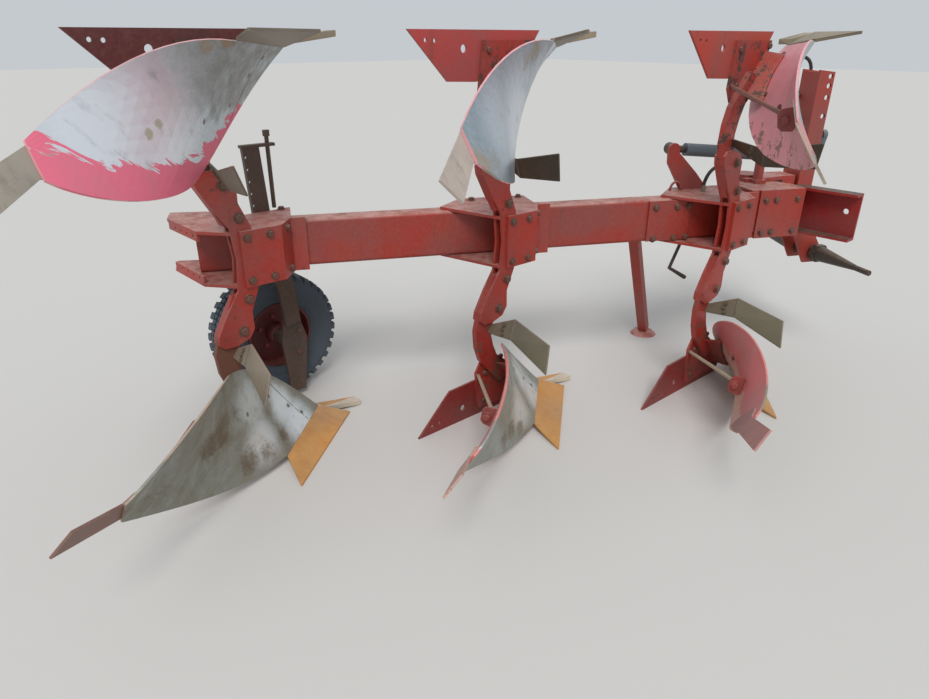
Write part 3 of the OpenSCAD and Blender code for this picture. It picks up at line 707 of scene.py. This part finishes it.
def smooth_run(points):
    """A smooth run through the points."""
    points = [Vector(p) for p in points]
    ends = [points[0] * 2 - points[1], *points, points[-1] * 2 - points[-2]]
    run = []
    spans = len(points) - 1
    for k in range(HOSE_STEPS + 1):
        at = min(k / HOSE_STEPS * spans, spans - 1e-6)
        i, t = int(at), at - int(at)
        a, b, c, d = ends[i:i + 4]
        run.append(0.5 * (2 * b + (c - a) * t + (2 * a - 5 * b + 4 * c - d) * t * t
                          + (3 * b - a - 3 * c + d) * t ** 3))
    return run


# Settings


class PloughSizes(bpy.types.PropertyGroup):
    bolt_size: FloatProperty(
        name="Bolt", description="Half the width of a bolt head over its corners", default=0.013,
        unit="LENGTH")
    lug_height: FloatProperty(
        name="Tread", description="Height of the tyre's tread", default=0.009, unit="LENGTH")
    hose_radius: FloatProperty(
        name="Hose", description="Radius of a hydraulic hose", default=0.0085, unit="LENGTH")


class PloughColours(bpy.types.PropertyGroup):
    red: FloatVectorProperty(
        name="Red", description="Faded red paint", subtype="COLOR", size=4, default=rgb(158, 38, 26))
    chalk: FloatVectorProperty(
        name="Chalk", description="Chalky paint on what faces up", subtype="COLOR", size=4,
        default=rgb(200, 146, 138))


# Pieces


class PLOUGH_OT_finishes(bpy.types.Operator):
    """Gives every solid its weathered finish"""

    bl_idname = "plough.finishes"
    bl_label = "Finishes"

    def execute(self, context):
        weathering()
        scouring()
        self.finish_machine(context.scene.plough_colours)
        self.finish_bodies()
        return {"FINISHED"}

    def finish_machine(self, chosen):
        """The brackets, the beam, the headstock, the cylinders, the stand and the wheel."""
        red, chalk = tuple(chosen.red), tuple(chosen.chalk)
        beam = paint("beam_red", red, chalk, 0.95, 0.46, 0.5)
        bracket = paint("bracket_red", rgb(166, 42, 30), chalk, 0.9, 0.54, 0.45)
        deep = paint("deep_red", rgb(158, 52, 40), rgb(190, 120, 110), 0.6, 0.5, 0.3)
        channel = paint("channel_red", rgb(146, 20, 22), rgb(166, 70, 66), 0.4, 0.4, 0.3, rgb(60, 44, 38))
        edge = paint("channel_edge", rgb(62, 44, 40), rgb(120, 84, 78), 0.6, 0.5, 0.4, rgb(84, 58, 48))
        maroon = paint("rim_maroon", rgb(112, 32, 36), rgb(120, 70, 66), 0.4, 0.6, 0.4)
        dark = paint("dark_iron", rgb(60, 52, 46), rgb(110, 100, 88), 0.4, 0.4, 0.4, rgb(92, 62, 44))
        blue = paint("cylinder_blue", rgb(96, 112, 122), rgb(140, 150, 155), 0.5, 0.3, 0.4)
        column = paint("column_brown", rgb(84, 66, 56), rgb(128, 110, 94), 0.4, 0.5, 0.5, rgb(96, 60, 40))
        own = (
            (beam, ("main_beam", "joint_plate", "pivot_frame")),
            (dark, ("crank_handle", "cross_shaft", "swing_rod", "turnover_rod")),
            (column, ("wheel_column", "wheel_arm")),
            (tyre_rubber(), ("tyre",)),
            (maroon, ("wheel_rim",)),
            (blue, ("swing_barrel", "turnover_barrel")),
            (deep, ("headstock",)),
        )
        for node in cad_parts:
            assign(node, bracket)
        for finish, nodes in own:
            for node in nodes:
                assign(node, finish)
        assign("front_slide", channel, edge, choose=lambda f: int(abs(f.normal.z) > 0.8))

    def finish_bodies(self):
        """The six bodies: two finishes on each leg, mouldboard and share, and one on the other pieces."""
        rods = {
            UPPER: paint("rod_red", rgb(122, 66, 56), rgb(160, 112, 98), 0.5, 0.6, 0.4),
            LOWER: paint("rod_pale", rgb(170, 150, 126), rgb(190, 172, 150), 0.5, 0.5, 0.4, rgb(110, 84, 62)),
        }
        shares = {
            UPPER: paint("share_grey", rgb(132, 120, 98), rgb(160, 146, 120), 0.6, 0.4, 0.4,
                         rgb(96, 78, 58)),
            LOWER: paint("share_ochre", rgb(204, 138, 58), rgb(214, 166, 100), 0.4, 0.36, 0.25,
                         rgb(190, 166, 128)),
        }
        bars = {
            UPPER: paint("bar_dull", rgb(156, 142, 118), rgb(180, 166, 142), 0.5, 0.45, 0.4,
                         rgb(104, 84, 62)),
            LOWER: paint("bar_cream", rgb(212, 198, 176), rgb(226, 214, 196), 0.5, 0.45, 0.35,
                         rgb(128, 104, 78)),
        }
        faces, backs = soil_faces(), board_backs()
        toward_soil, turned_away = Vector((0.45, -0.85, 0)), 0.42

        for place, side in BODIES:
            end = f"{side_name(side)}_{PLACES[place]}"
            for piece in ("landside", "tail", "trashboard"):
                assign(f"{piece}_{end}", body_paint(piece, place, side))
            rod_a = at_body(place, *STAY_FOOT, side)
            rod_b = on_board(place, side, *STAY_HEAD, out=-BOARD_T)[0]
            assign(f"leg_{end}", body_paint("leg", place, side), rods[side],
                   choose=lambda f, a=rod_a, b=rod_b: int(near_line(f.center, a, b, STAY_REACH)))
            assign(f"board_{end}", faces[place, side], backs[place, side],
                   choose=lambda f: int(f.normal.dot(toward_soil) < turned_away))
            bar_a, bar_b = at_body(place, *BAR_HEEL, side), at_body(place, *BAR_POINT, side)
            assign(f"share_{end}", shares[side], bars[side],
                   choose=lambda f, a=bar_a, b=bar_b: int(near_line(f.center, a, b, BAR_REACH)))


class PLOUGH_OT_bolts(bpy.types.Operator):
    """Bolts on the brackets, legs, beam and wheel arm, and the mouldboards' bolt heads"""

    bl_idname = "plough.bolts"
    bl_label = "Bolts"

    def execute(self, context):
        size = context.scene.plough_sizes.bolt_size

        def bolts(bm):
            random.seed(4)
            for place in range(len(PLACES)):
                for side in SIDES:
                    for x, h in LEG_BOLTS:
                        bolt(bm, at_body(place, x, LEG_RIGHT, h, side), RIGHT, size * 1.25)
                        bolt(bm, at_body(place, x, LEG_LEFT, h, side), LEFT, size * 1.25)
                    for x in FLANGE_BOLTS:
                        bolt(bm, at_body(place, x, FLANGE_Y, FLANGE_H, side), RIGHT, size)
                    bolt(bm, at_body(place, *BEND_BOLT, side), OFF_BEND, size)
                for u, v in GUSSET_BOLTS[:1] if place == FRONT else GUSSET_BOLTS:
                    for side in SIDES:
                        bolt(bm, at_body(place, *along_beam(u, v), PLATE_TOP, side), UP * side, size)
                for side in SIDES:
                    for x, h in FROG_BOLTS:
                        bolt(bm, at_body(place, x, FROG_FACE, h, side), RIGHT, size * 0.95, False)
                    for s, t in BOARD_BOLTS:
                        at, n = on_board(place, side, s, t, -BOARD_T)
                        bolt(bm, at, -n, size * 0.9, False)
            for x, z in ARM_BOLTS:
                bolt(bm, Vector((x, ARM_Y, z)), RIGHT, size * 0.85)
            for row, heights in BEAM_BOLTS:
                for u in row:
                    for h in heights:
                        bolt(bm, on_beam(u, BEAM_BOLT_FACE, h), OFF_BEAM, size)

        def plugs(bm):
            for place, side in BODIES:
                for s, t in BOARD_BOLTS:
                    at, n = on_board(place, side, s, t)
                    ring_stack(bm, at, n, [(0.0095, -0.001), (0.0095, 0.0004), (0.0088, 0.0007)], 20)
                    ring_stack(bm, at, n, [(0.0042, 0.0), (0.0042, 0.0009)], 4, 0.6)

        iron = paint("bolt_iron", rgb(104, 60, 50), rgb(150, 116, 100), 0.5, 0.7, 0.5, rgb(86, 70, 58))
        dull = paint("plug_steel", rgb(126, 122, 112), rgb(150, 146, 134), 0.3, 0.5, 0.5, rgb(88, 70, 52))
        new_object("frame_bolts", bolts, iron, "frame")
        new_object("board_plugs", plugs, dull, "frame")
        return {"FINISHED"}


class PLOUGH_OT_lugs(bpy.types.Operator):
    """Plates that the stay rods are bolted to, the trashboards' lip bolts with a dark bar along each fold as
    a painted shadow line, and the seams behind the shins
    """

    bl_idname = "plough.lugs"
    bl_label = "Stay lugs and seams"

    def execute(self, context):
        def lugs(bm):
            random.seed(6)
            for place, side in BODIES:
                head, n = on_board(place, side, *STAY_HEAD, out=-BOARD_T)
                across = -n
                along = UP.cross(across).normalized()
                rise = across.cross(along)
                skin(bm, [[bm.verts.new(head + across * (a - 0.001) + rise * b + along * (LUG_ASIDE + half))
                           for a, b in LUG] for half in (-LUG_HALF, LUG_HALF)])
                bolt_at = head + across * LUG_BOLT
                bolt(bm, bolt_at + along * (LUG_ASIDE + LUG_HALF), along, 0.015)
                bolt(bm, bolt_at + along * (LUG_ASIDE - LUG_HALF), -along, 0.014)

        def lip_bolts_and_fold_shadow(bm):
            random.seed(7)
            for place, side in BODIES:
                fold, lip = ([at_body(place, *p, side) for p in edge] for edge in (FOLD, LIP))
                n = (fold[1] - fold[0]).cross(lip[0] - fold[0]).normalized()
                n = n if n.x < 0 else -n
                for part, in_from in LIP_BOLTS:
                    at = fold[0].lerp(fold[1], part).lerp(lip[0].lerp(lip[1], part), in_from)
                    bolt(bm, at + n * LIP_HALF, n, 0.009)
                # A dark bar along the fold: a painted shadow line where the lip meets the blade.
                fold_shadow = [fold[0].lerp(fold[1], part) + n * LIP_HALF * 0.7 for part in (0.02, 0.98)]
                tube(bm, fold_shadow, 0.0035, 8)

        def seams(bm):
            shin = [(0.030 + 0.080 * (1 - (1 - k / 16) ** 2), 0.42 + 0.57 * k / 16) for k in range(17)]
            crack = [(0.16 + 0.16 * k / 10, 0.67 + 0.29 * k / 10) for k in range(11)]
            for place, side in BODIES:
                strip(bm, place, side, shin, 0.0016)
            strip(bm, MIDDLE, LOWER, crack, 0.0012)

        red = paint("lug_red", rgb(150, 56, 50), rgb(186, 112, 106), 0.6, 0.5, 0.35)
        iron = paint("lip_iron_and_fold_shadow", rgb(92, 80, 66), rgb(128, 116, 100), 0.4, 0.6, 0.5, rgb(70, 54, 42))
        dark = paint("seam_dark", rgb(58, 50, 42), rgb(84, 74, 62), 0.3, 0.5, 0.6)
        new_object("stay_lugs", lugs, red, "frame")
        new_object("lip_bolts_and_fold_shadow", lip_bolts_and_fold_shadow, iron, "frame")
        new_object("board_seams", seams, dark, "frame")
        return {"FINISHED"}


class PLOUGH_OT_hoses(bpy.types.Operator):
    """The headstock's hose and the beam's, with their fittings, and the lifting eye"""

    bl_idname = "plough.hoses"
    bl_label = "Hoses"

    def execute(self, context):
        radius = context.scene.plough_sizes.hose_radius
        rubber = paint("hose_black", rgb(34, 32, 32), rgb(92, 88, 84), 0.4, 0.15, 0.4, rgb(80, 70, 60))
        iron = paint("fitting_zinc", rgb(132, 126, 108), rgb(160, 154, 138), 0.4, 0.4, 0.4, rgb(104, 78, 54))

        def hose(name, points, body):
            run = smooth_run(points)

            def fittings(bm):
                for at, ahead in ((run[0], run[1] - run[0]), (run[-1], run[-2] - run[-1])):
                    ring_stack(bm, at - ahead.normalized() * 0.012, ahead,
                               [(radius * 1.25, 0.0), (radius * 1.25, 0.034), (radius * 1.05, 0.040)], 16)
                    ring_stack(bm, at - ahead.normalized() * 0.014, ahead,
                               [(radius * 1.7, 0.0), (radius * 1.7, 0.014)], 6)

            new_object(name, lambda bm: tube(bm, run, radius, HOSE_SIDES), rubber, body, True)
            new_object(name + "_fittings", fittings, iron, body)

        def eye(bm):
            bow = [on_beam(EYE_U + EYE_HALF * math.cos(t), EYE_V, PLATE_TOP - 0.004 + EYE_RISE * math.sin(t))
                   for t in (math.pi * k / 12 for k in range(13))]
            tube(bm, bow, EYE_R, 10)

        hose("tower_hose", TOWER_HOSE, "headstock")
        hose("beam_hose", BEAM_HOSE, "frame")
        new_object("lifting_eye", eye, bpy.data.materials["bracket_red"], "frame", True)
        return {"FINISHED"}


class PLOUGH_OT_tread(bpy.types.Operator):
    """The tyre's casing and tread, and the wheel's hub covers and bolts"""

    bl_idname = "plough.tread"
    bl_label = "Tyre tread"

    def execute(self, context):
        base = TYRE_R - context.scene.plough_sizes.lug_height

        def casing(bm):
            """Bead, sidewall with its ribs, shoulder and the tread's base, all the way round."""
            half = CASING + ((base, TREAD_HALF), (base, 0.0))
            outline = [(r, -y) for r, y in half[:-1]] + [(r, y) for r, y in reversed(half)]
            rings = [[bm.verts.new(at_wheel(r, y, math.tau * k / CASING_STEPS)) for r, y in outline]
                     for k in range(CASING_STEPS)]
            for a, b in zip(rings, rings[1:] + rings[:1]):
                for i in range(len(outline)):
                    j = (i + 1) % len(outline)
                    bm.faces.new((a[i], a[j], b[j], b[i]))

        def block(bm, side, start, outline):
            """One block from inside the casing to the tyre's radius; the shoulder falls away."""
            low, top = [], []
            for y, part in outline:
                t = start + part * math.tau / BLOCKS
                drop = max(0.0, y - SHOULDER_FROM) ** 2 * SHOULDER_FALL
                low.append(bm.verts.new(at_wheel(base - BLOCK_SUNK - drop * 2, side * y, t)))
                top.append(bm.verts.new(at_wheel(TYRE_R - drop, side * y, t)))
            skin(bm, [low, top])

        def tread(bm):
            share = math.tau / BLOCKS
            for k in range(BLOCKS):
                for side in (-1, 1):
                    block(bm, side, share * (k + (0.5 if side > 0 else 0)), SHOULDER_BLOCK)
                    for half in (0.0, 0.5):
                        block(bm, side, share * (k + half), RIB_BLOCK)

        def hub(bm):
            random.seed(8)
            for side in (-1, 1):
                for k in range(HUB_BOLTS):
                    at = at_wheel(HUB_BOLT_R, side * HUB_FACE, math.tau * k / HUB_BOLTS + 0.3)
                    bolt(bm, at, (0, side, 0), 0.012, False)
                ring_stack(bm, at_wheel(0, side * HUB_END, 0), (0, side, 0), HUB_COVER, 32)

        rubber = bpy.data.materials["tyre_rubber"]
        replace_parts(new_object("tyre_casing", casing, rubber, "wheel", True), "tyre")
        new_object("tyre_tread", tread, rubber, "wheel")
        new_object("wheel_hub_bolts", hub, bpy.data.materials["deep_red"], "wheel")
        return {"FINISHED"}


class PLOUGH_OT_stage(bpy.types.Operator):
    """Floor, light and the camera at the photograph's place"""

    bl_idname = "plough.stage"
    bl_label = "Stage"

    def execute(self, context):
        scene = context.scene
        bm = bmesh.new()
        bmesh.ops.create_grid(bm, x_segments=1, y_segments=1, size=40.0)
        mesh = bpy.data.meshes.new("floor")
        bm.to_mesh(mesh)
        bm.free()
        floor = bpy.data.objects.new("floor", mesh)
        scene.collection.objects.link(floor)
        mat = new_material("floor", (0.8, 0.8, 0.8, 1.0))
        shader = mat.node_tree.nodes["Principled BSDF"].inputs
        shader["Base Color"].default_value = (0.62, 0.60, 0.57, 1.0)
        shader["Roughness"].default_value = 0.9
        mesh.materials.append(mat)

        world = bpy.data.worlds.new("sky")
        scene.world = world
        world.use_nodes = True
        sky = world.node_tree.nodes["Background"].inputs
        sky["Color"].default_value = (0.90, 0.95, 1.0, 1.0)
        sky["Strength"].default_value = 0.62

        sun = bpy.data.lights.new("sun", "SUN")
        sun.energy = 1.9
        sun.angle = math.radians(25)
        lamp = bpy.data.objects.new("sun", sun)
        lamp.rotation_euler = (math.radians(38), math.radians(-18), math.radians(-20))
        scene.collection.objects.link(lamp)

        data = bpy.data.cameras.new("camera")
        data.sensor_width = SENSOR
        data.lens = FOCAL_PIXELS / PHOTO_WIDTH * SENSOR
        camera = bpy.data.objects.new("camera", data)
        camera.matrix_world = (Matrix.Translation(CAMERA_AT)
                               @ Matrix.Rotation(math.radians(HEADING - 90), 4, "Z")
                               @ Matrix.Rotation(math.radians(90 - DOWN), 4, "X")
                               @ Matrix.Rotation(math.radians(ROLL), 4, "Z"))
        scene.collection.objects.link(camera)
        scene.camera = camera
        scene.view_settings.view_transform = "Standard"
        return {"FINISHED"}


class PLOUGH_PT_panel(bpy.types.Panel):
    """Sizes, colours and steps of the plough"""

    bl_idname = "PLOUGH_PT_panel"
    bl_label = "Plough"
    bl_space_type = "VIEW_3D"
    bl_region_type = "UI"
    bl_category = "Plough"

    def draw(self, context):
        for settings in (context.scene.plough_sizes, context.scene.plough_colours):
            for key in settings.__annotations__:
                self.layout.prop(settings, key)
        for step in STEPS:
            self.layout.operator(step.bl_idname)


STEPS = (PLOUGH_OT_finishes, PLOUGH_OT_bolts, PLOUGH_OT_lugs, PLOUGH_OT_hoses, PLOUGH_OT_tread,
         PLOUGH_OT_stage)
CLASSES = (PloughSizes, PloughColours, *STEPS, PLOUGH_PT_panel)


def register():
    for cls in CLASSES:
        bpy.utils.register_class(cls)
    bpy.types.Scene.plough_sizes = PointerProperty(type=PloughSizes)
    bpy.types.Scene.plough_colours = PointerProperty(type=PloughColours)


def unregister():
    del bpy.types.Scene.plough_colours
    del bpy.types.Scene.plough_sizes
    for cls in reversed(CLASSES):
        bpy.utils.unregister_class(cls)


def main():
    register()
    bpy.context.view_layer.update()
    bpy.ops.plough.finishes()
    bpy.ops.plough.bolts()
    bpy.ops.plough.lugs()
    bpy.ops.plough.hoses()
    bpy.ops.plough.tread()
    bpy.ops.plough.stage()


if __name__ == "__main__":
    main()
